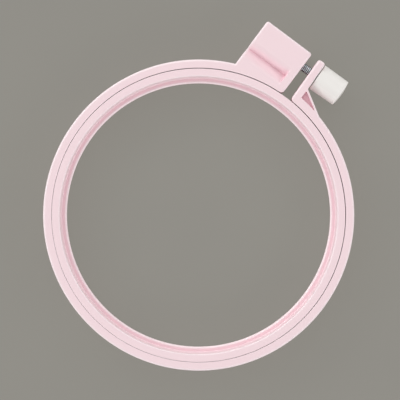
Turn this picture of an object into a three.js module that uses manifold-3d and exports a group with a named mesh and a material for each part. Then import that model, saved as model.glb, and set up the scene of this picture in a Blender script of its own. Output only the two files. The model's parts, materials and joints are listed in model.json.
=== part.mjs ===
// A round embroidery hoop that lies on its back, front up. Lengths are in millimetres, +Z points out of
// its front, the clamp is at the +Y end and the clamp's knob is on the +X side. The origin is in the middle
// of the hoop's outline, on the surface that it lies on.
import * as THREE from 'three';
import { mergeVertices } from 'three/addons/utils/BufferGeometryUtils.js';
import Module from 'manifold-3d';

const wasm = await Module();
wasm.setup();

// The two rings. The seam is where they meet: its diameter is the hoop's nominal size.
const seamRadius = 60;
const ringPlay = 0.3;
const ringHeight = 12;
const outerWall = 3.45;
const innerWall = 3.15;
const flangeReach = 2.15;
const flangeThickness = 2;
const flangeFillet = 0.2;
const edgeRadius = 0.6;
// The slot opposite the clamp stands for the web where the split ring bends.
const flexSlot = 0.3;

// The gap of the split ring, measured from the middle plane to each of its faces.
const blockFace = 2.4;
const earFace = 1.3;
const mouthRadius = 1.8;

// How far the clamp stands out of the outer ring, and how far out the screw runs.
const clampStandOut = 16.85;
const screwStandOut = 11;
const cornerRadius = 1;

// The hollow block that holds the nut, and the valley across its front.
const blockWidth = 22.7;
const lugWall = 3;
const shellWall = 2.2;
const roofWall = 2;
const ribWall = 1.8;
const creaseStandOut = 3.4;
const creaseRib = 3;
const valleyDepth = 3.6;
const valleySlope = 4.9;
const valleyShoulder = 3.9;

// The thin ear on the other side of the gap leans towards the block, as the screw pulls it.
const earThickness = 3.3;
const earLean = THREE.MathUtils.degToRad(1.6);
const earHolePlay = 0.25;

// The gusset that stiffens the ear has a pocket in its front and one in its back.
const gussetRun = 15.3;
const gussetClearance = 1.4;
const gussetRim = 0.6;
const gussetEdge = 0.2;
const gussetWeb = 8;

// The screw, its nut and the knob round its head.
const screwDiameter = 4;
const screwLength = 25;
const screwTipChamfer = 0.5;
const headAcrossFlats = 7;
const headThickness = 2.8;
const nutAcrossFlats = 7;
const nutThickness = 3.2;
const nutBorePlay = 0.35;
const lugHolePlay = 0.5;
const tailPlay = 0.8;
const seatPlay = 0.3;
const knobDiameter = 11.6;
const knobLength = 11.8;
const knobTaper = 0.15;
const knobDome = 0.55;
const knobEdge = 0.5;
const knobGap = 0.35;
const headDepth = 3;

// How finely the round shapes are drawn, and how far a cutter runs past what it cuts.
const ringSteps = 144;
const shaftSteps = 32;
const knobSteps = 48;
const cornerSteps = 4;
const edgeSteps = 2;
const noseSteps = 6;
const shoulderSteps = 8;
const overrun = 1;
const mergeDistance = 1e-4;

// Radii and places that follow from the sizes above, seen from the ring's middle.
const boreRadius = seamRadius + ringPlay / 2;
const outerRadius = boreRadius + outerWall;
const midWallRadius = boreRadius + outerWall / 2;
const blankBoreRadius = boreRadius - overrun;
const innerRingRadius = seamRadius - ringPlay / 2;
const clampReach = outerRadius + clampStandOut;
const screwReach = outerRadius + screwStandOut;
const creaseReach = outerRadius + creaseStandOut;
const screwRadius = screwDiameter / 2;
const knobRadius = knobDiameter / 2;
const middleHeight = ringHeight / 2;
const blockLeft = -blockFace - blockWidth;
const lugInside = -blockFace - lugWall;
const nutMiddleX = lugInside - seatPlay - nutThickness / 2;
const nutPocketBack = lugInside - nutThickness - 2 * seatPlay;
const ringMiddleY = (outerRadius - clampReach) / 2;

const pink = { color: 0xf1d3da, roughness: 0.45, metalness: 0 };
const white = { color: 0xebe7e4, roughness: 0.4, metalness: 0 };
const steel = { color: 0x9a9a9c, roughness: 0.35, metalness: 1 };

// A closed geometry as a solid that can be joined and cut.
function solidOf(geometry) {
  geometry.deleteAttribute('normal');
  geometry.deleteAttribute('uv');
  const merged = mergeVertices(geometry, mergeDistance);
  return new wasm.Manifold(new wasm.Mesh({
    numProp: 3,
    vertProperties: new Float32Array(merged.attributes.position.array),
    triVerts: new Uint32Array(merged.index.array),
  }));
}

function geometryOf(solid) {
  const { vertProperties, triVerts } = solid.getMesh();
  const geometry = new THREE.BufferGeometry();
  geometry.setAttribute('position', new THREE.BufferAttribute(vertProperties, 3));
  geometry.setIndex(new THREE.BufferAttribute(triVerts, 1));
  geometry.computeVertexNormals();
  return geometry;
}

function piece(name, solid, finish) {
  const mesh = new THREE.Mesh(geometryOf(solid), new THREE.MeshStandardMaterial(finish));
  mesh.name = name;
  return mesh;
}

function point(x, y) {
  return new THREE.Vector2(x, y);
}

// Points along a circle, from one angle to another.
function arc(centre, radius, start, end, steps) {
  return Array.from({ length: steps + 1 }, (_, step) => {
    const angle = start + (end - start) * step / steps;
    return point(centre.x + radius * Math.cos(angle), centre.y + radius * Math.sin(angle));
  });
}

function angleOf(from, to) {
  return Math.atan2(to.y - from.y, to.x - from.x);
}

function roundedRectangle(left, low, right, high, radius) {
  const quarter = Math.PI / 2;
  return [
    ...arc(point(right - radius, low + radius), radius, -quarter, 0, cornerSteps),
    ...arc(point(right - radius, high - radius), radius, 0, quarter, cornerSteps),
    ...arc(point(left + radius, high - radius), radius, quarter, 2 * quarter, cornerSteps),
    ...arc(point(left + radius, low + radius), radius, 2 * quarter, 3 * quarter, cornerSteps),
  ];
}

function rectangle(left, low, right, high) {
  return [point(left, low), point(right, low), point(right, high), point(left, high)];
}

// A straight prism on an outline, from one height to another.
function prism(outline, low, high) {
  const geometry = new THREE.ExtrudeGeometry(new THREE.Shape(outline), {
    depth: high - low,
    bevelEnabled: false,
  });
  return geometry.translate(0, 0, low);
}

// A prism as high as the rings, with its front and back edges rounded.
function mouldedPrism(outline, rounding) {
  const geometry = new THREE.ExtrudeGeometry(new THREE.Shape(outline), {
    depth: ringHeight - 2 * rounding,
    bevelThickness: rounding,
    bevelSize: rounding,
    bevelOffset: -rounding,
    bevelSegments: edgeSteps,
  });
  return geometry.translate(0, 0, rounding);
}

// A profile of radius and height turned about the Z axis. It closes on itself, or starts and ends there.
function turned(profile, steps) {
  return new THREE.LatheGeometry(profile, steps).rotateX(Math.PI / 2);
}

// Lays a shape drawn in X and Y on its side: its X becomes Y, its Y becomes Z and its Z becomes X.
function alongX(geometry) {
  const sideways = new THREE.Matrix4().makeBasis(
    new THREE.Vector3(0, 1, 0),
    new THREE.Vector3(0, 0, 1),
    new THREE.Vector3(1, 0, 0),
  );
  return geometry.applyMatrix4(sideways);
}

function rodAlongX(radius, from, to) {
  const round = arc(point(0, 0), radius, 0, 2 * Math.PI, shaftSteps).slice(1);
  return alongX(prism(round, from, to));
}

// A hexagon with flats on its left and right, as an outline.
function hexagon(acrossFlats) {
  const start = Math.PI / 6;
  return arc(point(0, 0), acrossFlats / Math.sqrt(3), start, start + 2 * Math.PI, 6).slice(1);
}

// How far from the ring's middle the screw's axis runs at a given X, as it leans with the ear.
function screwLine(x) {
  return screwReach + (x - earFace) * Math.tan(earLean);
}

// Carries a shape drawn round the ear's gap face at the screw's axis to its place on the leaning ear.
function ontoEar(geometry) {
  return geometry.rotateZ(earLean).translate(earFace, screwReach, 0);
}

// The rounded corner where a face of the gap runs out into the ring's bore. The face's normal points into the
// material, at the distance given from the ring's middle, and turning says on which side the far end lies.
function mouthCorner(normalAngle, distance, turning) {
  const normal = point(Math.cos(normalAngle), Math.sin(normalAngle));
  const along = point(-normal.y * turning, normal.x * turning);
  const inset = distance + mouthRadius;
  const rise = Math.sqrt((boreRadius + mouthRadius) ** 2 - inset ** 2);
  const centre = normal.clone().multiplyScalar(inset).addScaledVector(along, rise);
  const onFace = centre.clone().addScaledVector(normal, -mouthRadius);
  const onBore = centre.clone().multiplyScalar(boreRadius / (boreRadius + mouthRadius));
  const faceAngle = angleOf(centre, onFace);
  const turn = angleOf(centre, onBore) - faceAngle;
  const shortTurn = Math.atan2(Math.sin(turn), Math.cos(turn));
  return {
    boreAngle: Math.atan2(onBore.y, onBore.x),
    curve: arc(centre, mouthRadius, faceAngle, faceAngle + shortTurn, cornerSteps),
  };
}

// What the inner ring and the gap's rounded mouth take out of the outer ring.
function boreWithMouth() {
  const earNormal = point(Math.cos(earLean), Math.sin(earLean));
  const earDistance = earNormal.dot(point(earFace, screwReach));
  const earCorner = mouthCorner(earLean, earDistance, 1);
  const blockCorner = mouthCorner(Math.PI, blockFace, -1);
  const bore = arc(
    point(0, 0),
    boreRadius,
    earCorner.boreAngle,
    blockCorner.boreAngle - 2 * Math.PI,
    ringSteps,
  );
  const outline = [...bore.slice(1, -1), ...blockCorner.curve.reverse(), ...earCorner.curve];
  return solidOf(prism(outline.reverse(), -overrun, ringHeight + overrun));
}

// The whole outer ring before it is split. Its bore is left narrow here and is cut last.
function outerRingBlank() {
  const edgeMiddle = outerRadius - edgeRadius;
  const low = arc(point(edgeMiddle, edgeRadius), edgeRadius, -Math.PI / 2, 0, edgeSteps);
  const high = arc(point(edgeMiddle, ringHeight - edgeRadius), edgeRadius, 0, Math.PI / 2, edgeSteps);
  const start = point(blankBoreRadius, 0);
  const profile = [start, ...low, ...high, point(blankBoreRadius, ringHeight), start];
  return solidOf(turned(profile, ringSteps));
}

// Everything on one side of the hoop's middle plane, from the flex slot at the bottom to the clamp's gap.
function side(direction, gapFace) {
  const far = clampReach + overrun;
  const outline = [
    point(direction * flexSlot / 2, -far),
    point(direction * far, -far),
    point(direction * far, far),
    point(direction * gapFace, far),
    point(direction * gapFace, 0),
    point(direction * flexSlot / 2, 0),
  ];
  const ordered = direction > 0 ? outline : outline.reverse();
  return solidOf(prism(ordered, -overrun, ringHeight + overrun));
}

// The hollows that open at the back of the block: the nut's seat, the room for the screw's tail and a
// lightening pocket between the block's rib and the ring.
function blockHollows() {
  const pocketLeft = blockLeft + shellWall;
  const nutMiddleY = screwLine(nutMiddleX);
  const nutHalfWidth = nutAcrossFlats / 2 + seatPlay;
  const nutTop = middleHeight + nutAcrossFlats / Math.sqrt(3) + seatPlay;
  const nutSeat = rectangle(nutPocketBack, nutMiddleY - nutHalfWidth, lugInside, nutMiddleY + nutHalfWidth);
  const tailHalfWidth = screwRadius + tailPlay;
  const tailRight = nutPocketBack - ribWall;
  const tailMiddleY = screwLine(tailRight);
  const tailSlot = rectangle(
    tailRight - overrun,
    tailMiddleY - tailHalfWidth,
    nutPocketBack + overrun,
    tailMiddleY + tailHalfWidth,
  );
  const tailRoom = rectangle(pocketLeft, creaseReach + creaseRib, tailRight, clampReach - shellWall);
  const webLow = Math.sqrt(midWallRadius ** 2 - pocketLeft ** 2);
  const webPocket = rectangle(pocketLeft, webLow, lugInside, creaseReach);
  return [
    solidOf(prism(nutSeat, -overrun, nutTop)),
    solidOf(prism(tailSlot, -overrun, middleHeight + tailHalfWidth)),
    solidOf(prism(tailRoom, -overrun, ringHeight - roofWall)),
    solidOf(prism(webPocket, -overrun, ringHeight - valleyDepth - roofWall)),
  ];
}

// The valley across the block's front: a slope down from the ring, a crease and a rounded shoulder.
function valley() {
  const shoulder = Array.from({ length: shoulderSteps + 1 }, (_, step) => {
    const share = step / shoulderSteps;
    return point(creaseReach + valleyShoulder * share, ringHeight - valleyDepth * (1 - share) ** 2);
  });
  const section = [
    point(creaseReach - valleySlope, ringHeight + overrun),
    point(creaseReach - valleySlope, ringHeight),
    ...shoulder,
    point(creaseReach + valleyShoulder, ringHeight + overrun),
  ];
  return solidOf(alongX(prism(section, blockLeft - overrun, lugInside)));
}

function nutHalf() {
  const ring = outerRingBlank().intersect(side(-1, blockFace + 2 * edgeRadius));
  const blockRoot = Math.sqrt(boreRadius ** 2 - blockLeft ** 2);
  const outline = roundedRectangle(blockLeft, blockRoot, -blockFace, clampReach, cornerRadius);
  let block = solidOf(mouldedPrism(outline, edgeRadius));
  for (const hollow of blockHollows()) {
    block = block.subtract(hollow);
  }
  const holeMiddleX = lugInside + lugWall / 2;
  const hole = rodAlongX(screwRadius + lugHolePlay, lugInside - overrun, overrun - blockFace);
  hole.translate(0, screwLine(holeMiddleX), middleHeight);
  return ring.add(block).subtract(valley()).subtract(boreWithMouth()).subtract(solidOf(hole));
}

// The gusset's outline, drawn further in by a margin. Its slope runs from the ear's outside to the ring's
// outside, and the rest of it lies inside the ear and the ring.
function gussetOutline(margin) {
  const drop = knobRadius + gussetClearance;
  const top = point(earFace + earThickness + drop * Math.tan(earLean), screwReach - drop);
  const foot = point(gussetRun, Math.sqrt(outerRadius ** 2 - gussetRun ** 2));
  const slope = foot.clone().sub(top).normalize();
  const inwards = point(slope.y, -slope.x).multiplyScalar(margin);
  const insideTop = top.clone().addScaledVector(slope, -earThickness / 2).add(inwards);
  const insideFoot = foot.clone().addScaledVector(slope, outerWall).add(inwards);
  const ringEnd = insideFoot.clone().setLength(blankBoreRadius);
  const earEnd = point(insideTop.x, Math.sqrt(blankBoreRadius ** 2 - insideTop.x ** 2));
  return [earEnd, ringEnd, insideFoot, insideTop];
}

// The gusset behind the ear, thinned to a web between its two pockets.
function gusset() {
  const pocket = gussetOutline(gussetRim);
  const webLow = middleHeight - gussetWeb / 2;
  const webHigh = middleHeight + gussetWeb / 2;
  return solidOf(mouldedPrism(gussetOutline(0), gussetEdge))
    .subtract(solidOf(prism(pocket, -overrun, webLow)))
    .subtract(solidOf(prism(pocket, webHigh, ringHeight + overrun)));
}

function earHalf() {
  const ring = outerRingBlank().intersect(side(1, earFace + 2 * edgeRadius));
  const tip = clampReach - screwReach;
  const root = seamRadius - screwReach;
  const outline = roundedRectangle(0, root, earThickness, tip, cornerRadius);
  const ear = solidOf(ontoEar(mouldedPrism(outline, edgeRadius)));
  const hole = rodAlongX(screwRadius + earHolePlay, -overrun, earThickness + overrun);
  const placedHole = solidOf(ontoEar(hole.translate(0, 0, middleHeight)));
  return ring.add(gusset()).add(ear).subtract(boreWithMouth()).subtract(placedHole);
}

// The inner ring's L section: a wall, and a round-nosed flange at its back that reaches inwards.
function innerRing() {
  const wallInside = innerRingRadius - innerWall;
  const noseRadius = flangeThickness / 2;
  const noseMiddle = point(wallInside - flangeReach + noseRadius, noseRadius);
  const rim = arc(
    point(wallInside + edgeRadius, ringHeight - edgeRadius),
    edgeRadius,
    Math.PI / 2,
    Math.PI,
    edgeSteps,
  );
  const fillet = arc(
    point(wallInside - flangeFillet, flangeThickness + flangeFillet),
    flangeFillet,
    0,
    -Math.PI / 2,
    edgeSteps,
  );
  const nose = arc(noseMiddle, noseRadius, Math.PI / 2, 3 * Math.PI / 2, noseSteps);
  const profile = [
    point(innerRingRadius, 0),
    point(innerRingRadius, ringHeight),
    ...rim,
    ...fillet,
    ...nose,
    point(innerRingRadius, 0),
  ];
  return solidOf(turned(profile, ringSteps));
}

// The screw lies along X from the ear's gap face, with its head on the +X side.
function clampScrew() {
  const headStart = earThickness + knobGap + headDepth + seatPlay;
  const tip = headStart - screwLength;
  const profile = [
    point(0, tip),
    point(screwRadius - screwTipChamfer, tip),
    point(screwRadius, tip + screwTipChamfer),
    point(screwRadius, headStart + headThickness / 2),
    point(0, headStart + headThickness / 2),
  ];
  const shank = new THREE.LatheGeometry(profile, shaftSteps).rotateZ(-Math.PI / 2);
  const head = alongX(prism(hexagon(headAcrossFlats), headStart, headStart + headThickness));
  return solidOf(shank).add(solidOf(head));
}

// The knob is moulded round the screw's head. Its inner face lies against the ear, and its end is domed.
function knob() {
  const face = earThickness + knobGap;
  const end = face + knobLength;
  const endRadius = knobRadius - knobTaper;
  const domeChord = endRadius - knobEdge;
  const domeRadius = (domeChord ** 2 + knobDome ** 2) / (2 * knobDome);
  const domeMiddle = point(0, end + knobDome - domeRadius);
  const domeStart = Math.acos(domeChord / domeRadius);
  const edge = arc(point(endRadius - knobEdge, end - knobEdge), knobEdge, 0, Math.PI / 2, cornerSteps);
  const dome = arc(domeMiddle, domeRadius, domeStart, Math.PI / 2, cornerSteps);
  const innerMiddle = point(knobRadius - knobEdge, face + knobEdge);
  const innerEdge = arc(innerMiddle, knobEdge, -Math.PI / 2, 0, cornerSteps);
  dome[dome.length - 1].x = 0;
  const profile = [point(0, face), ...innerEdge, ...edge, ...dome.slice(1)];
  const body = new THREE.LatheGeometry(profile, knobSteps).rotateZ(-Math.PI / 2);
  const headRoomStart = face + headDepth;
  const headRoomEnd = headRoomStart + headThickness + 2 * seatPlay;
  const headRoom = alongX(prism(hexagon(headAcrossFlats + 2 * seatPlay), headRoomStart, headRoomEnd));
  const shankRoom = rodAlongX(screwRadius + seatPlay, face - overrun, headRoomEnd);
  return solidOf(body).subtract(solidOf(headRoom)).subtract(solidOf(shankRoom));
}

// The nut lies along X about its own middle, with two flats against the sides of its seat.
function captiveNut() {
  const end = nutThickness / 2;
  const corner = nutAcrossFlats / Math.sqrt(3);
  const chamfer = corner - nutAcrossFlats / 2;
  const profile = [
    point(0, -end),
    point(corner - chamfer, -end),
    point(corner, chamfer - end),
    point(corner, end - chamfer),
    point(corner - chamfer, end),
    point(0, end),
  ];
  const rounding = new THREE.LatheGeometry(profile, shaftSteps).rotateZ(-Math.PI / 2);
  const hex = alongX(prism(hexagon(nutAcrossFlats), -end, end));
  const bore = rodAlongX(screwRadius + nutBorePlay, -end - overrun, end + overrun);
  return solidOf(hex).intersect(solidOf(rounding)).subtract(solidOf(bore));
}

const hoop = new THREE.Group();
hoop.position.y = ringMiddleY;
hoop.add(piece('outer_ring_nut_half', nutHalf(), pink));
hoop.add(piece('outer_ring_ear_half', earHalf(), pink));
hoop.add(piece('inner_ring', innerRing(), pink));

const nut = piece('captive_nut', captiveNut(), steel);
nut.position.set(nutMiddleX, screwLine(nutMiddleX), middleHeight);
hoop.add(nut);

const screwAndKnob = new THREE.Group();
screwAndKnob.position.set(earFace, screwReach, middleHeight);
screwAndKnob.rotation.z = earLean;
screwAndKnob.add(piece('clamp_screw', clampScrew(), steel));
screwAndKnob.add(piece('knob', knob(), white));
hoop.add(screwAndKnob);

export default hoop;
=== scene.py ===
import json
import math

import bmesh
import bpy
from mathutils import Matrix, Vector


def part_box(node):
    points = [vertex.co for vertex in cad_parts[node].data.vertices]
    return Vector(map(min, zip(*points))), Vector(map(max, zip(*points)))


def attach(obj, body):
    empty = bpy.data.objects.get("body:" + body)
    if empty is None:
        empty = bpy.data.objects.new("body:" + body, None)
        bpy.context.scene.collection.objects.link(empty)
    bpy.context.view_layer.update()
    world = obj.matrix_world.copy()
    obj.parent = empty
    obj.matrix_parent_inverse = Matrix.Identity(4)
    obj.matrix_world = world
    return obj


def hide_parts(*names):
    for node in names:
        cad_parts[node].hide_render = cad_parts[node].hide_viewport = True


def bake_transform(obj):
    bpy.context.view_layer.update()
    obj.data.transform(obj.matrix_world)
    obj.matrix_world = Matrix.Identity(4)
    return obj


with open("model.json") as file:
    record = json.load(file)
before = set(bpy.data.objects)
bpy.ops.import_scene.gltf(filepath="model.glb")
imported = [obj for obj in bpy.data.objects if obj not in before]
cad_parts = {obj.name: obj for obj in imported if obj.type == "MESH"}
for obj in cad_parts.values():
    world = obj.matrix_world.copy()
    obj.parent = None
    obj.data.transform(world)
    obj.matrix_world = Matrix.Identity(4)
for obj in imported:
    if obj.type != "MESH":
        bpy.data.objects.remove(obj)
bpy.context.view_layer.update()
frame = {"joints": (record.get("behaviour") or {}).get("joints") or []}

# Lengths are in millimetres. The plan of the rings is drawn round their own middle, with the gap of the clamp
# on the +Y side, and each finished mesh is carried to its place in metres.
MILLIMETRE = 0.001


def frame_box(node):
    low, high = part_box(node)
    return low / MILLIMETRE, high / MILLIMETRE


inner_low, inner_high = frame_box("inner_ring")
block_low, block_high = frame_box("outer_ring_nut_half")
screw_joint = next(joint for joint in frame["joints"] if joint["name"] == "knob_turn")
screw_axis = Vector(screw_joint["axis"])
screw_point = Vector(screw_joint["pos_m"]) / MILLIMETRE

# What the frame gives: the rings, the reach of the clamp and the leaning line of the screw.
RING_MIDDLE = Vector(((inner_low.x + inner_high.x) / 2, (inner_low.y + inner_high.y) / 2, 0))
RING_HEIGHT = inner_high.z
INNER_RING_RADIUS = (inner_high.x - inner_low.x) / 2
OUTER_RADIUS = -block_low.x
CLAMP_REACH = block_high.y - RING_MIDDLE.y
EAR_FACE = screw_point.x
SCREW_REACH = screw_point.y - RING_MIDDLE.y
MIDDLE_HEIGHT = screw_point.z
EAR_LEAN = math.atan2(-screw_axis.y, -screw_axis.x)

# The rings. Edges that only part the mould are nearly sharp, and the others are rounded.
OUTER_WALL = 3.45
INNER_WALL = 3.15
FLANGE_REACH = 2.15
FLANGE_THICKNESS = 2
FLANGE_NOSE = 0.95
FLANGE_FILLET = 0.2
EDGE = 0.9
WALL_EDGE = 0.6
FINE_EDGE = 0.12
MOUTH_RADIUS = 1.8
BORE_RADIUS = OUTER_RADIUS - OUTER_WALL
# Fabric presses the inner ring against the outer one, tightest opposite the clamp.
RING_SWELL = 0.08
RING_LEAN = Vector((-0.02, -0.11, 0))

# The block: its hollows at the back and the valley across its front.
BLOCK_FACE = 2.4
BLOCK_WIDTH = 22.7
BLOCK_CORNER = 1
BLOCK_ROOT_FILLET = 0.4
BLOCK_LEFT = -BLOCK_FACE - BLOCK_WIDTH
LUG_WALL = 3
LUG_INSIDE = -BLOCK_FACE - LUG_WALL
SHELL_WALL = 2.2
ROOF_WALL = 2
RIB_WALL = 1.8
HOLLOW_CORNER = 0.5
HOLLOW_FILLET = 0.3
LIP = 0.25
CREASE_REACH = OUTER_RADIUS + 3.4
CREASE_RIB = 3
VALLEY_DEPTH = 3.6
VALLEY_SLOPE = 4.9
VALLEY_EASE = 1.6
VALLEY_SHOULDER = 3.9
VALLEY_END = 0.7

# The ear and the gusset behind it.
EAR_THICKNESS = 3.3
GUSSET_RUN = 15.3
GUSSET_CLEARANCE = 1
GUSSET_RIM = 0.85
GUSSET_EDGE = 0.15
GUSSET_WEB = 8
GUSSET_CORNER = 0.5
POCKET_POINT = 0.12
POCKET_CORNER = 0.3
POCKET_FILLET = 0.1
POCKET_LIP = 0.1
# How far past the ring's rim a point has to lie to belong to the gusset's slope.
SLOPE_START = 0.1

# The screw, its nut and its knob. Along the screw, lengths run from the face of the ear at the gap.
SCREW_RADIUS = 2
SCREW_LENGTH = 25
SCREW_CHAMFER = 0.5
THREAD_PITCH = 0.7
THREAD_DEPTH = 0.43
THREAD_FULLNESS = 1.7
THREAD_END = 5
HEAD_ACROSS_FLATS = 7
HEAD_THICKNESS = 2.8
HEAD_DEPTH = 3
SEAT_PLAY = 0.3
NUT_ACROSS_FLATS = 7
NUT_THICKNESS = 3.2
NUT_FACE_RADIUS = 3.3
NUT_CHAMFER = math.radians(30)
NUT_BORE_RADIUS = 2.35
LUG_HOLE_RADIUS = 2.5
EAR_HOLE_RADIUS = 2.25
HOLE_CHAMFER = 0.25
TAIL_PLAY = 0.8
KNOB_RADIUS = 5.8
KNOB_LENGTH = 11.8
KNOB_TAPER = 0.15
KNOB_DOME = 0.55
KNOB_EDGE = 0.35
KNOB_GAP = 0.35
KNOB_BORE_RADIUS = 2.15
NECK_PLAY = 0.075
# How far the rounding of the knob's end stops short of level, as a share of the angle where its dome starts.
KNOB_EDGE_STOP = 0.125
NUT_MIDDLE = LUG_INSIDE - SEAT_PLAY - NUT_THICKNESS / 2
NUT_POCKET_BACK = LUG_INSIDE - NUT_THICKNESS - 2 * SEAT_PLAY

# How finely round shapes are drawn, how far a cutter runs past what it cuts, and what counts as one place.
DEGREE = math.radians(1)
CORNER_STEPS = 6
EDGE_STEPS = 5
THREAD_STEPS = 12
SHAFT_STEPS = 48
KNOB_STEPS = 120
RING_STEPS = 360
WEB_ARC_STEPS = 17
POCKET_ARC_STEPS = 7
HALVINGS = 40
OVERRUN = 1
SAME_PLACE = 1e-4
SHARP_ANGLE = math.radians(40)
LIP_TURN = math.radians(70)


# Outlines and profiles, as lists of points.

def flat(x, y):
    return Vector((x, y))


def turn_of(vector):
    return math.atan2(vector.y, vector.x)


def arc(middle, radius, start, end, steps):
    """Points along a circle from one angle to another, both ends included."""
    angles = [start + (end - start) * step / steps for step in range(steps + 1)]
    return [flat(middle.x + radius * math.cos(a), middle.y + radius * math.sin(a)) for a in angles]


def eased(share):
    """A share from 0 to 1 that starts and ends gently."""
    return share * share * (3 - 2 * share)


def short_arc(middle, radius, start, end, steps=CORNER_STEPS):
    """The arc on the shorter way round, from one point to another."""
    first = turn_of(start - middle)
    turn = turn_of(end - middle) - first
    return arc(middle, radius, first, first + math.remainder(turn, 2 * math.pi), steps)


def rounded(corners):
    """A closed outline from corners, each a point and its radius. Radius 0 leaves the point as it is."""
    outline = []
    for index, (corner, radius) in enumerate(corners):
        if radius == 0:
            outline.append(corner)
            continue
        before = (corners[index - 1][0] - corner).normalized()
        after = (corners[(index + 1) % len(corners)][0] - corner).normalized()
        half = before.angle(after) / 2
        middle = corner + (before + after).normalized() * (radius / math.sin(half))
        run = radius / math.tan(half)
        outline += short_arc(middle, radius, corner + before * run, corner + after * run)
    return outline


def sharp(points):
    return [(point, 0) for point in points]


def inset_directions(outline):
    """How each point of an outline, drawn anticlockwise, moves when the outline shrinks by one."""
    directions = []
    for index, point in enumerate(outline):
        before = (point - outline[index - 1]).normalized()
        after = (outline[(index + 1) % len(outline)] - point).normalized()
        normals = before.orthogonal() + after.orthogonal()
        directions.append(normals / (1 + before.dot(after)))
    return directions


def inset_loop(outline, directions, insets, heights):
    return [
        Vector((*(point + direction * inset), height))
        for point, direction, inset, height in zip(outline, directions, insets, heights)
    ]


def moulding_loops(outline, edge_radius, low, high):
    """The loops of a straight body with rounded edges. edge_radius gives the radius at a point."""
    directions = inset_directions(outline)
    radii = [edge_radius(point) for point in outline]
    quarter = [math.pi / 2 * step / EDGE_STEPS for step in range(EDGE_STEPS + 1)]
    loops = []
    for angle in reversed(quarter):
        insets = [radius * (1 - math.cos(angle)) for radius in radii]
        heights = [low + radius * (1 - math.sin(angle)) for radius in radii]
        loops.append(inset_loop(outline, directions, insets, heights))
    for angle in quarter:
        insets = [radius * (1 - math.cos(angle)) for radius in radii]
        heights = [high - radius * (1 - math.sin(angle)) for radius in radii]
        loops.append(inset_loop(outline, directions, insets, heights))
    return loops


def hollow_loops(outline, floor, mouth, fillet=HOLLOW_FILLET, lip=LIP):
    """The loops of a cutter for a hollow: a floor with a fillet, straight walls and a lip that flares."""
    directions = inset_directions(outline)
    side = math.copysign(1, mouth - floor)
    levels = []
    for step in range(EDGE_STEPS + 1):
        angle = math.pi / 2 * step / EDGE_STEPS
        levels.append((fillet * (1 - math.sin(angle)), floor + side * fillet * (1 - math.cos(angle))))
    for step in range(EDGE_STEPS + 1):
        angle = LIP_TURN * step / EDGE_STEPS
        rise = lip * (math.sin(LIP_TURN) - math.sin(angle))
        levels.append((-lip * (1 - math.cos(angle)), mouth - side * rise))
    levels.append((levels[-1][0], mouth + side * OVERRUN))
    count = len(outline)
    return [inset_loop(outline, directions, [inset] * count, [height] * count) for inset, height in levels]


# Meshes, made with operators.

def mark_edges(body):
    """Notes on each face how far it belongs to a rounded edge: 1 at 45 degrees, 0 on flats and walls."""
    layer = body.faces.layers.float.new("edge")
    for face in body.faces:
        face[layer] = 2 * abs(face.normal.z) * face.normal.xy.length
    return body


def raised_from(corner, face):
    """The corner of a raised face that a corner of the face below it became."""
    neighbours = [edge.other_vert(corner) for edge in corner.link_edges]
    return next(neighbour for neighbour in neighbours if neighbour in face.verts)


def lofted(loops):
    """A closed body through a stack of loops, which have as many points each."""
    body = bmesh.new()
    corners = [body.verts.new(point) for point in loops[0]]
    face = body.faces.new(corners)
    below = []
    for loop in loops[1:]:
        raised = bmesh.ops.extrude_face_region(body, geom=[face])["geom"]
        bmesh.ops.delete(body, geom=below, context="FACES_ONLY")
        face = next(part for part in raised if isinstance(part, bmesh.types.BMFace))
        below = [face]
        corners = [raised_from(corner, face) for corner in corners]
        for corner, point in zip(corners, loop):
            corner.co = point
    bmesh.ops.recalc_face_normals(body, faces=body.faces)
    return body


def spun(profile, steps, closed=False):
    """A body turned about Z from a profile of radius and height, which ends on the axis or is closed."""
    body = bmesh.new()
    corners = [body.verts.new((point.x, 0, point.y)) for point in profile]
    edges = [body.edges.new(pair) for pair in zip(corners, corners[1:])]
    if closed:
        edges.append(body.edges.new((corners[-1], corners[0])))
    bmesh.ops.spin(
        body,
        geom=corners + edges,
        cent=(0, 0, 0),
        axis=(0, 0, 1),
        angle=2 * math.pi,
        steps=steps,
        use_merge=True,
    )
    bmesh.ops.remove_doubles(body, verts=body.verts, dist=SAME_PLACE)
    bmesh.ops.recalc_face_normals(body, faces=body.faces)
    return body


def scratch_object(body):
    mesh = bpy.data.meshes.new("scratch")
    body.to_mesh(mesh)
    body.free()
    made = bpy.data.objects.new("scratch", mesh)
    bpy.context.scene.collection.objects.link(made)
    return made


def combined(body, tools, operation):
    """The body after each tool is cut out of it, joined to it or intersected with it."""
    target = scratch_object(body)
    helpers = [scratch_object(tool) for tool in tools]
    for helper in helpers:
        step = target.modifiers.new("step", "BOOLEAN")
        step.operation = operation
        step.solver = "EXACT"
        step.object = helper
    evaluated = target.evaluated_get(bpy.context.evaluated_depsgraph_get())
    mesh = bpy.data.meshes.new_from_object(evaluated)
    result = bmesh.new()
    result.from_mesh(mesh)
    bpy.data.meshes.remove(mesh)
    for made in [target, *helpers]:
        bpy.data.meshes.remove(made.data)
    bmesh.ops.remove_doubles(result, verts=result.verts, dist=SAME_PLACE)
    return result


def along_x(body):
    """Lays a body that was turned about Z down, with its Z along +X."""
    body.transform(Matrix.Rotation(math.pi / 2, 4, "Y"))
    return body


ON_EAR = Matrix.Translation((EAR_FACE, SCREW_REACH, MIDDLE_HEIGHT)) @ Matrix.Rotation(EAR_LEAN, 4, "Z")


def on_ear(across, along):
    """A point of the plan, from its distances through the ear and along it, away from the screw."""
    place = ON_EAR @ Vector((across, along, 0))
    return flat(place.x, place.y)


def screw_line(x):
    """How far from the middle of the rings the axis of the screw runs at an X."""
    return SCREW_REACH + (x - EAR_FACE) * math.tan(EAR_LEAN)


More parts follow.
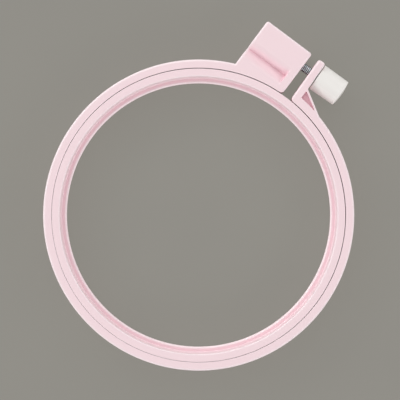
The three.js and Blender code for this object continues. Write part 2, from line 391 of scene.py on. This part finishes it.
def piece(name, body, finish):
    """Makes a named object of a body in millimetres, with its place in its mesh."""
    body.transform(Matrix.Scale(MILLIMETRE, 4) @ Matrix.Translation(RING_MIDDLE))
    mesh = bpy.data.meshes.new(name)
    body.to_mesh(mesh)
    body.free()
    mesh.materials.append(finish)
    mesh.shade_smooth()
    mesh.set_sharp_from_angle(angle=SHARP_ANGLE)
    made = bpy.data.objects.new(name, mesh)
    bpy.context.scene.collection.objects.link(made)
    shading = made.modifiers.new("even_shading", "WEIGHTED_NORMAL")
    shading.keep_sharp = True
    return made


# Finishes.

class Wire:
    """An output of a finish's node, which can be used in an expression."""

    def __init__(self, finish, socket):
        self.finish = finish
        self.socket = socket

    def __add__(self, other):
        return self.finish.sum("ADD", self, other)

    def __radd__(self, other):
        return self.finish.sum("ADD", other, self)

    def __sub__(self, other):
        return self.finish.sum("SUBTRACT", self, other)

    def __rsub__(self, other):
        return self.finish.sum("SUBTRACT", other, self)

    def __mul__(self, other):
        return self.finish.sum("MULTIPLY", self, other)

    def __rmul__(self, other):
        return self.finish.sum("MULTIPLY", other, self)


class Finish:
    """A material with a Principled shader, whose other nodes are added one by one."""

    def __init__(self, name):
        self.material = bpy.data.materials.new(name)
        self.material.use_nodes = True
        self.tree = self.material.node_tree
        self.shader = self.tree.nodes["Principled BSDF"]
        self.place = self.node("ShaderNodeTexCoord", output="Object")

    def feed(self, socket, value):
        if isinstance(value, Wire):
            self.tree.links.new(value.socket, socket)
        else:
            socket.default_value = value

    def node(self, kind, settings=None, values=None, output=0):
        made = self.tree.nodes.new(kind)
        for name, value in (settings or {}).items():
            setattr(made, name, value)
        for name, value in (values or {}).items():
            self.feed(made.inputs[name], value)
        return Wire(self, made.outputs[output])

    def sum(self, operation, first, second):
        return self.node("ShaderNodeMath", {"operation": operation}, {0: first, 1: second})

    def noise(self, size, place=None, detail=2.0):
        """Soft noise whose blobs are about this many millimetres across."""
        values = {"Vector": place or self.place, "Scale": 1 / (size * MILLIMETRE), "Detail": detail}
        return self.node("ShaderNodeTexNoise", {"noise_dimensions": "3D"}, values)

    def stretched(self, scales, turn=0.0):
        """The place, squeezed along each axis by its own scale after a turn about Z."""
        values = {"Vector": self.place, "Scale": scales, "Rotation": (0, 0, turn)}
        return self.node("ShaderNodeMapping", {"vector_type": "TEXTURE"}, values)

    def ramp(self, value, low, high):
        """0 below low, 1 above high and a smooth change between."""
        values = {"Value": value, "From Min": low, "From Max": high}
        return self.node("ShaderNodeMapRange", {"interpolation_type": "SMOOTHSTEP"}, values)

    def blend(self, share, first, second):
        made = self.tree.nodes.new("ShaderNodeMix")
        made.data_type = "RGBA"
        self.feed(made.inputs["Factor"], share)
        colour_inputs = [socket for socket in made.inputs if socket.type == "RGBA"]
        for socket, colour in zip(colour_inputs, (first, second)):
            self.feed(socket, colour)
        return Wire(self, next(socket for socket in made.outputs if socket.type == "RGBA"))

    def bump(self, height, strength, distance):
        values = {"Height": height, "Strength": strength, "Distance": distance * MILLIMETRE}
        return self.node("ShaderNodeBump", None, values)

    def shelter(self, reach):
        """0 where the surface is open, up to 1 deep in a corner of about this many millimetres."""
        values = {"Distance": reach * MILLIMETRE}
        return 1 - self.node("ShaderNodeAmbientOcclusion", {"only_local": True}, values, output="AO")

    def mark(self, name):
        """A value that the faces of the mesh carry."""
        return self.node("ShaderNodeAttribute", {"attribute_name": name}, output="Fac")

    def ray(self, kind):
        path = self.tree.nodes.new("ShaderNodeLightPath")
        return Wire(self, path.outputs[kind])

    def glow(self, colour, share):
        """Lets a share of the surface give its own light, where it is looked at."""
        light = self.node("ShaderNodeEmission", None, {"Color": colour})
        mix = self.tree.nodes.new("ShaderNodeMixShader")
        self.feed(mix.inputs["Fac"], share)
        self.tree.links.new(self.shader.outputs["BSDF"], mix.inputs[1])
        self.tree.links.new(light.socket, mix.inputs[2])
        self.tree.links.new(mix.outputs["Shader"], self.tree.nodes["Material Output"].inputs["Surface"])

    def dress(self, **values):
        for name, value in values.items():
            self.feed(self.shader.inputs[name.replace("_", " ")], value)
        return self.material


def srgb(red, green, blue):
    """A colour on the 0 to 255 scale, as the light that it stands for."""
    shares = [value / 255 for value in (red, green, blue)]
    light = [s / 12.92 if s <= 0.04045 else ((s + 0.055) / 1.055) ** 2.4 for s in shares]
    return (*light, 1)


def moulded_plastic(name, light, dark, painted_shade, painted_highlight, roughness):
    """Satin plastic from a polished mould: faint flow clouds, a fine grain and hairlines, with painted shade
    that turns it deeper in corners and painted highlights that make its rounded edges pale.
    """
    finish = Finish(name)
    clouds = finish.noise(size=14, detail=3)
    satin = finish.noise(size=1.1)
    grain = finish.noise(size=0.22)
    hairlines = finish.noise(size=1, place=finish.stretched(scales=(0.6, 14, 6), turn=math.radians(28)))
    rubbed = finish.ramp(hairlines, low=0.66, high=0.72)
    open_colour = finish.blend(0.75 * clouds + 0.25 * satin, light, dark)
    # Painted highlight: faces of the rounded edges, by their slope, are made paler and a little glossier.
    painted_highlight_share = finish.mark("edge") * (0.75 + 0.5 * (satin - 0.5))
    # Painted shade: in corners and hollows the colour turns towards the deep shade colour.
    colour = finish.blend(painted_highlight_share, finish.blend(finish.shelter(reach=12), open_colour, painted_shade), painted_highlight)
    gloss = roughness + 0.09 * (clouds - 0.5) + 0.05 * (satin - 0.5) + 0.08 * rubbed - 0.06 * painted_highlight_share
    surface = 0.55 * grain + 0.35 * satin + 0.1 * rubbed
    return finish.dress(
        Base_Color=colour,
        Roughness=gloss,
        Normal=finish.bump(surface, strength=0.25, distance=0.02),
        IOR=1.55,
    )


def plated_steel(name):
    """Bright plating with streaks round the shank and a mottle; the roots of the thread are duller and have
    painted shade that makes them dark.
    """
    finish = Finish(name)
    mottle = finish.noise(size=1.6, detail=3)
    streaks = finish.noise(size=0.5, place=finish.stretched(scales=(0.25, 6, 6)))
    # Painted shade: the roots of the thread and other tight hollows are coloured dark, and made rougher.
    painted_root_shade = finish.ramp(finish.shelter(reach=0.8) + 0.3 * (mottle - 0.5), low=0.35, high=0.75)
    plating = finish.blend(mottle, srgb(238, 252, 252), srgb(220, 236, 238))
    colour = finish.blend(painted_root_shade, plating, srgb(70, 76, 82))
    gloss = 0.1 + 0.1 * streaks + 0.05 * mottle + 0.2 * painted_root_shade
    return finish.dress(
        Base_Color=colour,
        Metallic=1.0,
        Roughness=gloss,
        Normal=finish.bump(streaks, strength=0.2, distance=0.01),
    )


# The last two colours of each plastic are painted shade for its corners and a painted highlight for its
# rounded edges.
pink = moulded_plastic(
    "pink_plastic",
    light=srgb(244, 220, 224),
    dark=srgb(241, 216, 221),
    painted_shade=srgb(249, 208, 218),
    painted_highlight=srgb(252, 238, 241),
    roughness=0.3,
)
white = moulded_plastic(
    "white_plastic",
    light=srgb(240, 237, 233),
    dark=srgb(236, 232, 228),
    painted_shade=srgb(238, 230, 222),
    painted_highlight=srgb(246, 244, 242),
    roughness=0.3,
)
steel = plated_steel("plated_steel")


# The outer ring: one moulding with the block, the ear and the gusset.

def mouth_corner(normal, distance):
    """The rounded corner from a face of the gap to the bore. The normal points into the material."""
    inset = distance + MOUTH_RADIUS
    rise = math.sqrt((BORE_RADIUS + MOUTH_RADIUS) ** 2 - inset ** 2)
    upwards = flat(abs(normal.y), abs(normal.x))
    if normal.x > 0:
        upwards.x = -upwards.x
    middle = normal * inset + upwards * rise
    on_face = middle - normal * MOUTH_RADIUS
    on_bore = middle * (BORE_RADIUS / (BORE_RADIUS + MOUTH_RADIUS))
    return short_arc(middle, MOUTH_RADIUS, on_face, on_bore)


def ring_point(x, radius=OUTER_RADIUS):
    return flat(x, math.sqrt(radius ** 2 - x ** 2))


def gusset_top():
    return on_ear(EAR_THICKNESS, -KNOB_RADIUS - GUSSET_CLEARANCE)


def outer_ring_outline():
    """The outer ring's plan, anticlockwise from the root of the block round to it again."""
    root = ring_point(BLOCK_LEFT)
    foot = ring_point(GUSSET_RUN)
    start = turn_of(root)
    end = turn_of(foot) + 2 * math.pi
    outside = arc(flat(0, 0), OUTER_RADIUS, start, end, round((end - start) / DEGREE))
    tip = CLAMP_REACH - SCREW_REACH
    ear_normal = flat(math.cos(EAR_LEAN), math.sin(EAR_LEAN))
    ear_mouth = mouth_corner(ear_normal, ear_normal.dot(flat(EAR_FACE, SCREW_REACH)))
    block_mouth = mouth_corner(flat(-1, 0), BLOCK_FACE)
    start = turn_of(ear_mouth[-1])
    end = turn_of(block_mouth[-1]) - 2 * math.pi
    bore = arc(flat(0, 0), BORE_RADIUS, start, end, round((start - end) / DEGREE))
    return rounded([
        (outside[0], BLOCK_ROOT_FILLET),
        *sharp(outside[1:]),
        (gusset_top(), GUSSET_CORNER),
        (on_ear(EAR_THICKNESS, tip), BLOCK_CORNER),
        (on_ear(0, tip), BLOCK_CORNER),
        *sharp(ear_mouth),
        *sharp(bore[1:-1]),
        *sharp(reversed(block_mouth)),
        (flat(-BLOCK_FACE, CLAMP_REACH), BLOCK_CORNER),
        (flat(BLOCK_LEFT, CLAMP_REACH), BLOCK_CORNER),
    ])


def outer_edge_radius(point):
    """Nearly sharp round the bore, finer along the gusset's slope and rounded elsewhere."""
    from_bore = (point.length - BORE_RADIUS) / MOUTH_RADIUS
    if from_bore < 1:
        return FINE_EDGE + (EDGE - FINE_EDGE) * eased(max(from_bore, 0))
    beyond_ear = point.x > EAR_FACE + EAR_THICKNESS and point.y > 0
    return GUSSET_EDGE if beyond_ear and point.length > OUTER_RADIUS + SLOPE_START else EDGE


def rectangle(left, low, right, high):
    corners = (flat(left, low), flat(right, low), flat(right, high), flat(left, high))
    return rounded([(corner, HOLLOW_CORNER) for corner in corners])


def block_hollows():
    """Cutters for what opens at the back of the block: nut seat, room for the screw's tail and a pocket."""
    left = BLOCK_LEFT + SHELL_WALL
    nut_y = screw_line(NUT_MIDDLE)
    nut_half = NUT_ACROSS_FLATS / 2 + SEAT_PLAY
    nut_top = MIDDLE_HEIGHT + NUT_ACROSS_FLATS / math.sqrt(3) + SEAT_PLAY
    nut_seat = rectangle(NUT_POCKET_BACK, nut_y - nut_half, LUG_INSIDE, nut_y + nut_half)
    tail_half = SCREW_RADIUS + TAIL_PLAY
    tail_right = NUT_POCKET_BACK - RIB_WALL
    tail_y = screw_line(tail_right)
    slot_left = tail_right - OVERRUN
    slot_right = NUT_POCKET_BACK + OVERRUN
    tail_slot = rectangle(slot_left, tail_y - tail_half, slot_right, tail_y + tail_half)
    tail_room = rectangle(left, CREASE_REACH + CREASE_RIB, tail_right, CLAMP_REACH - SHELL_WALL)
    lower_left = ring_point(left)
    lower_right = ring_point(LUG_INSIDE)
    lower = short_arc(flat(0, 0), OUTER_RADIUS, lower_left, lower_right, WEB_ARC_STEPS)
    web_pocket = rounded([
        (lower[0], HOLLOW_CORNER),
        *sharp(lower[1:-1]),
        (lower[-1], HOLLOW_CORNER),
        (flat(LUG_INSIDE, CREASE_REACH), HOLLOW_CORNER),
        (flat(left, CREASE_REACH), HOLLOW_CORNER),
    ])
    return [
        lofted(hollow_loops(nut_seat, nut_top, 0)),
        lofted(hollow_loops(tail_slot, MIDDLE_HEIGHT + tail_half, 0)),
        lofted(hollow_loops(tail_room, RING_HEIGHT - ROOF_WALL, 0)),
        lofted(hollow_loops(web_pocket, RING_HEIGHT - VALLEY_DEPTH - ROOF_WALL, 0)),
    ]


def gusset_pockets():
    """Cutters for the front and back pockets of the gusset, between the ear, the ring and the sloping rim."""
    top = gusset_top()
    foot = ring_point(GUSSET_RUN)
    slope = (foot - top).normalized()
    inwards = flat(slope.y, -slope.x) * GUSSET_RIM
    steepness = slope.y / slope.x

    def inside_rim(x):
        return flat(x, top.y + inwards.y + (x - top.x - inwards.x) * steepness)

    low, high = top.x, GUSSET_RUN
    for _ in range(HALVINGS):
        middle = (low + high) / 2
        low, high = (middle, high) if inside_rim(middle).y > ring_point(middle).y else (low, middle)
    ring_side = short_arc(flat(0, 0), OUTER_RADIUS, ring_point(low), ring_point(top.x), POCKET_ARC_STEPS)
    outline = rounded([
        (ring_side[0], POCKET_POINT),
        *sharp(ring_side[1:-1]),
        (ring_side[-1], POCKET_CORNER),
        (inside_rim(top.x), POCKET_CORNER),
    ])
    outline.reverse()
    web_low = MIDDLE_HEIGHT - GUSSET_WEB / 2
    web_high = MIDDLE_HEIGHT + GUSSET_WEB / 2
    return [
        lofted(hollow_loops(outline, web_high, RING_HEIGHT, POCKET_FILLET, POCKET_LIP)),
        lofted(hollow_loops(outline, web_low, 0, POCKET_FILLET, POCKET_LIP)),
    ]


def drill(radius, start, end):
    """A cutter for a hole along X between two faces, with a small chamfer at each."""
    wide = radius + HOLE_CHAMFER
    profile = [
        flat(0, start - OVERRUN),
        flat(wide, start - OVERRUN),
        flat(wide, start),
        flat(radius, start + HOLE_CHAMFER),
        flat(radius, end - HOLE_CHAMFER),
        flat(wide, end),
        flat(wide, end + OVERRUN),
        flat(0, end + OVERRUN),
    ]
    return along_x(spun(profile, SHAFT_STEPS))


def screw_holes():
    lug_hole = drill(LUG_HOLE_RADIUS, LUG_INSIDE, -BLOCK_FACE)
    lug_middle = (LUG_INSIDE - BLOCK_FACE) / 2
    lug_hole.transform(Matrix.Translation((0, screw_line(lug_middle), MIDDLE_HEIGHT)))
    ear_hole = drill(EAR_HOLE_RADIUS, 0, EAR_THICKNESS)
    ear_hole.transform(ON_EAR)
    return [lug_hole, ear_hole]


def valley_section():
    """How far the front drops along the block: an eased slope, the crease and a rounded shoulder."""
    start = CREASE_REACH - VALLEY_SLOPE
    steepness = VALLEY_DEPTH / (VALLEY_SLOPE - VALLEY_EASE / 2)
    section = []
    for step in range(CORNER_STEPS + 1):
        run = VALLEY_EASE * step / CORNER_STEPS
        section.append((start + run, steepness * run * run / (2 * VALLEY_EASE)))
    section.append((CREASE_REACH, VALLEY_DEPTH))
    for step in range(1, 2 * CORNER_STEPS + 1):
        share = step / (2 * CORNER_STEPS)
        section.append((CREASE_REACH + VALLEY_SHOULDER * share, VALLEY_DEPTH * (1 - share) ** 2))
    return section


def drop_at(section, y):
    for (low, drop), (high, next_drop) in zip(section, section[1:]):
        if low <= y <= high:
            return drop + (next_drop - drop) * (y - low) / (high - low)
    return 0


def press_valley(body):
    """Presses the valley into the block's front, up to the wall beside the gap, rounded edges and all."""
    section = valley_section()
    level = RING_HEIGHT - EDGE - SAME_PLACE

    def front_of_block():
        return [
            face for face in body.faces
            if min(corner.co.z for corner in face.verts) > level
            and max(corner.co.x for corner in face.verts) < 0
            and max(corner.co.y for corner in face.verts) > section[0][0] - OVERRUN
        ]

    def slice_front(point, normal, faces):
        edges = {edge for face in faces for edge in face.edges}
        corners = {corner for face in faces for corner in face.verts}
        bmesh.ops.bisect_plane(
            body,
            geom=[*corners, *edges, *faces],
            dist=SAME_PLACE,
            plane_co=point,
            plane_no=normal,
        )

    ring_front = [face for face in body.faces if min(corner.co.z for corner in face.verts) > level]
    slice_front((0, section[0][0] - OVERRUN, 0), (0, 1, 0), ring_front)
    for reach, _ in section:
        slice_front((0, reach, 0), (0, 1, 0), front_of_block())
    for step in range(CORNER_STEPS + 1):
        x = LUG_INSIDE - VALLEY_END * step / CORNER_STEPS
        slice_front((x, 0, 0), (1, 0, 0), front_of_block())
    for corner in body.verts:
        if corner.co.z > level and corner.co.x < LUG_INSIDE:
            share = min((LUG_INSIDE - corner.co.x) / VALLEY_END, 1)
            corner.co.z -= drop_at(section, corner.co.y) * eased(share)


def outer_ring():
    loops = moulding_loops(outer_ring_outline(), outer_edge_radius, 0, RING_HEIGHT)
    cutters = [*block_hollows(), *gusset_pockets(), *screw_holes()]
    body = combined(mark_edges(lofted(loops)), cutters, "DIFFERENCE")
    press_valley(body)
    made = piece("outer_ring", body, pink)
    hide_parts("outer_ring_nut_half", "outer_ring_ear_half")
    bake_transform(made)


def inner_ring():
    """A wall with a round-nosed flange at its back that reaches inwards."""
    wall_inside = INNER_RING_RADIUS - INNER_WALL
    flange_inside = wall_inside - FLANGE_REACH
    outside = INNER_RING_RADIUS + RING_SWELL
    profile = rounded([
        (flat(outside, 0), FINE_EDGE),
        (flat(outside, RING_HEIGHT), FINE_EDGE),
        (flat(wall_inside, RING_HEIGHT), WALL_EDGE),
        (flat(wall_inside, FLANGE_THICKNESS), FLANGE_FILLET),
        (flat(flange_inside, FLANGE_THICKNESS), FLANGE_NOSE),
        (flat(flange_inside, 0), FLANGE_NOSE),
    ])
    body = mark_edges(spun(profile, RING_STEPS, closed=True))
    body.transform(Matrix.Translation(RING_LEAN))
    made = piece("inner_ring_moulding", body, pink)
    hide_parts("inner_ring")
    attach(made, "inner_ring")


# The screw, its knob and its nut.

def knob():
    """A plain drafted barrel with a domed end, moulded round the head of the screw."""
    face = EAR_THICKNESS + KNOB_GAP
    end = face + KNOB_LENGTH
    end_radius = KNOB_RADIUS - KNOB_TAPER
    chord = end_radius - KNOB_EDGE
    dome_radius = (chord ** 2 + KNOB_DOME ** 2) / (2 * KNOB_DOME)
    dome_middle = flat(0, end + KNOB_DOME - dome_radius)
    dome_start = math.acos(chord / dome_radius)
    dome = arc(dome_middle, dome_radius, dome_start, math.pi / 2, 2 * CORNER_STEPS)
    dome[-1].x = 0
    edge_end = math.pi / 2 - dome_start * KNOB_EDGE_STOP
    barrel_edge = arc(flat(chord, end - KNOB_EDGE), KNOB_EDGE, 0, edge_end, CORNER_STEPS)
    face_edge_middle = flat(KNOB_RADIUS - KNOB_EDGE, face + KNOB_EDGE)
    face_edge = arc(face_edge_middle, KNOB_EDGE, -math.pi / 2, 0, CORNER_STEPS)
    head_start = face + HEAD_DEPTH
    head_end = head_start + HEAD_THICKNESS + 2 * SEAT_PLAY
    head_room = HEAD_ACROSS_FLATS / math.sqrt(3) + SEAT_PLAY
    profile = [
        flat(0, head_end),
        flat(head_room, head_end),
        flat(head_room, head_start),
        flat(KNOB_BORE_RADIUS, head_start),
        flat(KNOB_BORE_RADIUS, face),
        *face_edge,
        *barrel_edge,
        *dome[1:],
    ]
    body = along_x(spun(profile, KNOB_STEPS))
    body.transform(ON_EAR)
    made = piece("knob_barrel", body, white)
    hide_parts("knob")
    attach(made, "screw_and_knob")


def threaded_rod(tip, end):
    """A rod with a round-crested helical thread: its profile goes round once while it climbs one pitch."""
    body = bmesh.new()
    turns = math.ceil((end - tip) / THREAD_PITCH) + 2
    profile = []
    for step in range(turns * THREAD_STEPS):
        share = step / THREAD_STEPS
        depth = THREAD_DEPTH * ((1 + math.cos(2 * math.pi * share)) / 2) ** THREAD_FULLNESS
        profile.append(Vector((SCREW_RADIUS - depth, 0, tip + (share - 1) * THREAD_PITCH)))
    corners = [body.verts.new(point) for point in profile]
    edges = [body.edges.new(pair) for pair in zip(corners, corners[1:])]
    bmesh.ops.spin(
        body,
        geom=corners + edges,
        cent=(0, 0, 0),
        axis=(0, 0, 1),
        dvec=(0, 0, THREAD_PITCH / SHAFT_STEPS),
        angle=2 * math.pi,
        steps=SHAFT_STEPS,
    )
    bmesh.ops.remove_doubles(body, verts=body.verts, dist=SAME_PLACE)
    for height, outwards in ((tip, -1), (end, 1)):
        bmesh.ops.bisect_plane(
            body,
            geom=[*body.verts, *body.edges, *body.faces],
            dist=SAME_PLACE,
            plane_co=(0, 0, height),
            plane_no=(0, 0, outwards),
            clear_outer=True,
        )
    bmesh.ops.holes_fill(body, edges=[edge for edge in body.edges if edge.is_boundary])
    bmesh.ops.recalc_face_normals(body, faces=body.faces)
    for corner in body.verts:
        reach = corner.co.xy.length
        limit = SCREW_RADIUS - SCREW_CHAMFER + corner.co.z - tip
        if reach > limit:
            corner.co.xy *= limit / reach
    return body


def hexagon(across_flats, low, high):
    """A hexagonal bar along Z, two of whose flats face along Y."""
    points = arc(flat(0, 0), across_flats / math.sqrt(3), 0, 2 * math.pi, 6)[1:]
    return lofted([[Vector((*point, height)) for point in points] for height in (low, high)])


def screw():
    head_start = EAR_THICKNESS + KNOB_GAP + HEAD_DEPTH + SEAT_PLAY
    tip = head_start - SCREW_LENGTH
    thread = threaded_rod(tip, THREAD_END)
    neck = KNOB_BORE_RADIUS - NECK_PLAY
    shank = spun([
        flat(0, THREAD_END - OVERRUN),
        flat(SCREW_RADIUS - THREAD_DEPTH, THREAD_END - OVERRUN),
        flat(neck, THREAD_END - OVERRUN / 2),
        flat(neck, head_start + OVERRUN),
        flat(0, head_start + OVERRUN),
    ], SHAFT_STEPS)
    head = hexagon(HEAD_ACROSS_FLATS, head_start, head_start + HEAD_THICKNESS)
    body = along_x(combined(thread, [shank, head], "UNION"))
    body.transform(ON_EAR)
    made = piece("threaded_screw", body, steel)
    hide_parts("clamp_screw")
    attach(made, "screw_and_knob")


def nut():
    """A plain hexagon nut with chamfered corners, two of its flats against the sides of its seat."""
    end = NUT_THICKNESS / 2
    reach = NUT_ACROSS_FLATS / math.sqrt(3) + OVERRUN
    shoulder = end - (reach - NUT_FACE_RADIUS) * math.tan(NUT_CHAMFER)
    lead = NUT_BORE_RADIUS + HOLE_CHAMFER
    chamfered = spun([
        flat(lead, -end),
        flat(NUT_FACE_RADIUS, -end),
        flat(reach, -shoulder),
        flat(reach, shoulder),
        flat(NUT_FACE_RADIUS, end),
        flat(lead, end),
        flat(NUT_BORE_RADIUS, end - HOLE_CHAMFER),
        flat(NUT_BORE_RADIUS, HOLE_CHAMFER - end),
    ], SHAFT_STEPS, closed=True)
    bar = hexagon(NUT_ACROSS_FLATS, -end - OVERRUN, end + OVERRUN)
    body = along_x(combined(bar, [chamfered], "INTERSECT"))
    body.transform(Matrix.Translation((NUT_MIDDLE, screw_line(NUT_MIDDLE), MIDDLE_HEIGHT)))
    made = piece("hexagon_nut", body, steel)
    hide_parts("captive_nut")
    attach(made, "outer_ring_nut_side")


outer_ring()
inner_ring()
knob()
screw()
nut()


# The studio, whose lengths are in metres: a plain pale floor, an even sky, a key lamp in a ring of fill
# lamps, and a camera above that looks straight down.

IMAGE_RIGHT = Vector((0.8, 0.6, 0))
IMAGE_UP = Vector((-0.6, 0.8, 0))
CAMERA_PLACE = Vector((-3.27, RING_MIDDLE.y + 5.24, 712)) * MILLIMETRE
VIEW_WIDTH = 163.3 * MILLIMETRE
VIEW_DISTANCE = 700 * MILLIMETRE
FLOOR_SIZE = 12
FLOOR_DROP = 0.0002
FLOOR_GLOW = 0.92
SKY_LEVEL = 0.46
LAMP_DISTANCE = 1.6
FILL_COUNT = 8

# A lamp's bearing in the picture, clockwise from the right, its rise over the floor, its size and its power.
# The fill lamps stand all round, stronger before and behind the object as the key lamp sees it.
KEY_LAMP = (228, 45, 2.6, 1.4, 8.4)
FILL_LAMP = (25, 1.3, 0.45)
FILL_POWER = 3.3
FILL_SWING = 0.4


def floor():
    finish = Finish("pale_floor")
    cloud = finish.noise(size=60)
    paint = finish.blend(cloud, srgb(232, 232, 229), srgb(228, 228, 225))
    finish.dress(Base_Color=paint, Roughness=0.9)
    looked_at = finish.ray("Is Camera Ray") + finish.ray("Is Glossy Ray") + finish.ray("Is Transmission Ray")
    light = finish.blend(cloud, srgb(136, 133, 125), srgb(133, 130, 123))
    finish.glow(light, FLOOR_GLOW * looked_at)
    plane = bmesh.new()
    bmesh.ops.create_grid(plane, x_segments=1, y_segments=1, size=FLOOR_SIZE / 2)
    bmesh.ops.translate(plane, verts=plane.verts, vec=(0, 0, -FLOOR_DROP))
    mesh = bpy.data.meshes.new("floor")
    plane.to_mesh(mesh)
    plane.free()
    mesh.materials.append(finish.material)
    made = bpy.data.objects.new("floor", mesh)
    bpy.context.scene.collection.objects.link(made)


def sky():
    world = bpy.data.worlds.new("studio_sky")
    world.use_nodes = True
    background = world.node_tree.nodes["Background"]
    background.inputs["Color"].default_value = (1, 1, 1, 1)
    background.inputs["Strength"].default_value = SKY_LEVEL
    bpy.context.scene.world = world


def softbox(name, bearing, rise, width, height, power):
    """A soft lamp that faces the object."""
    lamp = bpy.data.lights.new(name, "AREA")
    lamp.shape = "RECTANGLE"
    lamp.size = width
    lamp.size_y = height
    lamp.energy = power
    made = bpy.data.objects.new(name, lamp)
    bearing, rise = math.radians(bearing), math.radians(rise)
    sideways = IMAGE_RIGHT * math.cos(bearing) - IMAGE_UP * math.sin(bearing)
    direction = sideways * math.cos(rise) + Vector((0, 0, math.sin(rise)))
    made.location = direction * LAMP_DISTANCE
    made.rotation_mode = "QUATERNION"
    made.rotation_quaternion = direction.to_track_quat("Z", "Y")
    bpy.context.scene.collection.objects.link(made)


def camera():
    lens = bpy.data.cameras.new("camera")
    lens.angle = 2 * math.atan(VIEW_WIDTH / 2 / VIEW_DISTANCE)
    made = bpy.data.objects.new("camera", lens)
    made.location = CAMERA_PLACE
    made.rotation_euler = (0, 0, math.atan2(IMAGE_RIGHT.y, IMAGE_RIGHT.x))
    bpy.context.scene.collection.objects.link(made)
    bpy.context.scene.camera = made


floor()
sky()
softbox("key_lamp", *KEY_LAMP)
for number in range(FILL_COUNT):
    bearing = 360 * number / FILL_COUNT
    swing = math.cos(2 * math.radians(bearing - KEY_LAMP[0]))
    softbox(f"fill_lamp_{number + 1}", bearing, *FILL_LAMP, FILL_POWER * (1 + FILL_SWING * swing))
camera()
bpy.context.scene.view_settings.view_transform = "Standard"
